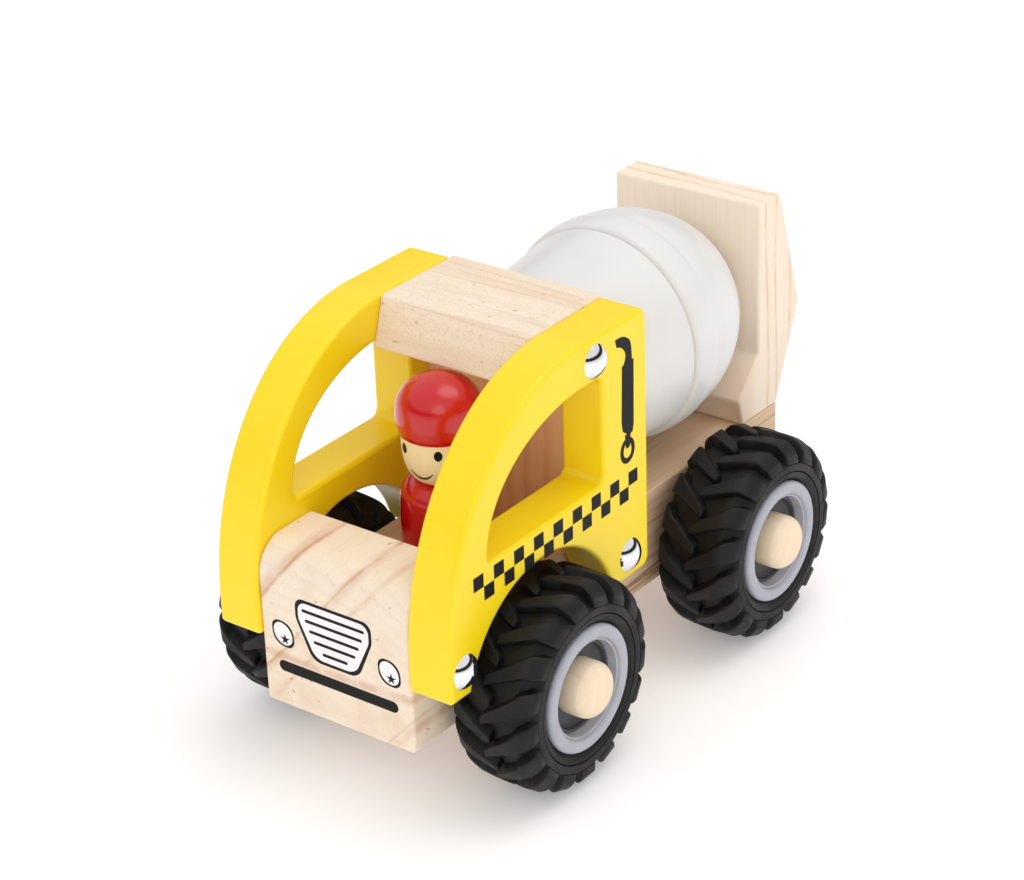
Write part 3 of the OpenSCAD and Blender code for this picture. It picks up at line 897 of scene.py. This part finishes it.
def make_check_strip(side, material):
    """Two rows of dark squares along the panel, offset by one."""
    place = panel_place(side, "front")
    across, up = CHECK_PITCH
    bm = bmesh.new()
    for column in range(CHECK_COLUMNS):
        for row in range(2):
            if (column + row) % 2 == 1:
                continue
            y0 = CHECK_START + column * across
            z0 = CHECK_Z + (1 - row) * up
            y1, z1 = y0 + across - CHECK_GAP, z0 + up - CHECK_GAP
            y0, z0 = y0 + CHECK_GAP, z0 + CHECK_GAP
            square = rounded([(y0, z0, 0.1), (y1, z0, 0.1), (y1, z1, 0.1), (y0, z1, 0.1)], 2)
            slab(bm, square, place, PRINT_SINK, PRINT_T)
    piece_from(f"check_strip_{side}", bm, material, "truck")


def make_emblem(side, material):
    """A plain pictogram of a filling tube: a bent spout, the tube and a ring below it."""
    place = panel_place(side, "rear")
    bm = bmesh.new()
    tube = [(-8.1, 75.3), (-6.6, 75.6), (-6.1, 77.5), (-5.8, 94.6), (-10.6, 94.2), (-11.1, 79.5),
            (-10.6, 77)]
    slab(bm, [Vector(p) for p in tube], place, PRINT_SINK, PRINT_T)
    outer = smooth_line([(-13.3, 102.0), (-10.8, 101.9), (-8.6, 101.0), (-6.9, 99.0), (-6.4, 93.8)], 4)
    inner = smooth_line([(-10.5, 93.0), (-9.2, 95.9), (-9.4, 97.6), (-10.9, 99.2), (-12.7, 99.9)], 4)
    slab(bm, outer + inner, place, PRINT_SINK, INK)
    slab(bm, rounded([(-9.4, 72.0, 0.4), (-7.8, 72.0, 0.4), (-7.4, 75.8, 0.3), (-9.8, 75.8, 0.3)], 2),
         place, PRINT_SINK, INK)
    ring = (-8.8, 71.4)
    outer = ellipse(*ring, 3.0, 3.4, 36)
    inner = ellipse(*ring, 1.7, 2.0, 36)
    loops = [[bm.verts.new(place(p[0], p[1], lift)) for p in line]
             for line, lift in ((outer, PRINT_SINK), (outer, PRINT_T), (inner, PRINT_T), (inner, PRINT_SINK))]
    bridge(bm, loops + loops[:1])
    piece_from(f"tube_emblem_{side}", bm, material, "truck")


def make_front_prints(materials):
    """The grille, two lamps and a bumper line on the front of the hood."""
    low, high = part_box("hood_block")

    def place(x, z, lift):
        return (x * MM, low.y - lift, z * MM)

    def grille(inset):
        return rounded([(-11.4 + inset, 50.2 - inset, 2.4), (11.4 - inset, 50.2 - inset, 2.4),
                        (11.5 - inset, 44.8, 4.4), (6.9 - inset, 34.3 + inset, 4.0),
                        (-6.9 + inset, 34.3 + inset, 4.0), (-11.5 + inset, 44.8, 4.4)], 6)

    def lamp(x, grow):
        return rounded([(x - 3.5 - grow, 42.4 + grow, 2.2), (x + 3.1 + grow, 42.1 + grow, 3.4),
                        (x + 3.4 + grow, 35.2 - grow, 2.2), (x - 3.1 - grow, 35.5 - grow, 3.4)], 6)

    def star(x, z):
        points = [(1.5 if k % 2 == 0 else 0.6, math.pi * k / 5) for k in range(10)]
        return [Vector((x + r * math.sin(a), z + r * math.cos(a))) for r, a in points]

    dark, white = bmesh.new(), bmesh.new()
    slab(dark, grille(0), place, PRINT_SINK, UNDER_INK)
    slab(white, grille(0.85), place, 0, INK)
    for z, half in ((47.3, 9.4), (44.75, 8.6), (42.2, 7.5), (39.65, 6.3), (37.1, 3.8)):
        slab(dark, capsule(-half, half, z, 0.42), place, 0, OVER_INK)
    for x in (-15.8, 16.3):
        slab(dark, lamp(x, 0), place, PRINT_SINK, UNDER_INK)
        slab(white, lamp(x, -0.5), place, 0, INK)
        slab(dark, star(x + 0.5, 37.4), place, 0, OVER_INK)
    slab(dark, capsule(-17.7, 18.4, 29.9, 1.45), place, PRINT_SINK, PRINT_T)
    piece_from("front_print_dark", dark, materials["ink_dark"], "truck")
    piece_from("front_print_white", white, materials["ink_white"], "truck")


# ---------------------------------------------------------------- the truck

def dress_cad_nodes(materials):
    """Gives each carried-over CAD node its material, and rounds the edges of the wooden ones."""
    for row in frame["record"]["subparts"]:
        node = frame["nodes"][row["node"]]
        node.data.materials.clear()
        node.data.materials.append(materials[row["material_slot"]])
    for node, width in WOOD_EDGES.items():
        soften(node, width)


def main():
    """Makes the whole scene, the camera first."""
    camera()
    backdrop()
    lighting()
    materials = make_materials()
    dress_cad_nodes(materials)
    for end in ENDS:
        for side in SIDES:
            make_tyre(end, side, materials["tyre_rubber"])
            make_rim(end, side, materials["rim_plastic"])
            make_cup(end, side, materials["disc_plastic"])
            make_hub_cap(end, side, materials["cap_wood"])
    for side in SIDES:
        make_panel(side, materials["panel_paint"])
    make_drum(materials["drum_paint"])
    make_driver(materials)
    make_face(materials["ink_dark"])
    for side in SIDES:
        make_check_strip(side, materials["ink_dark"])
        make_emblem(side, materials["ink_dark"])
    make_front_prints(materials)


main()
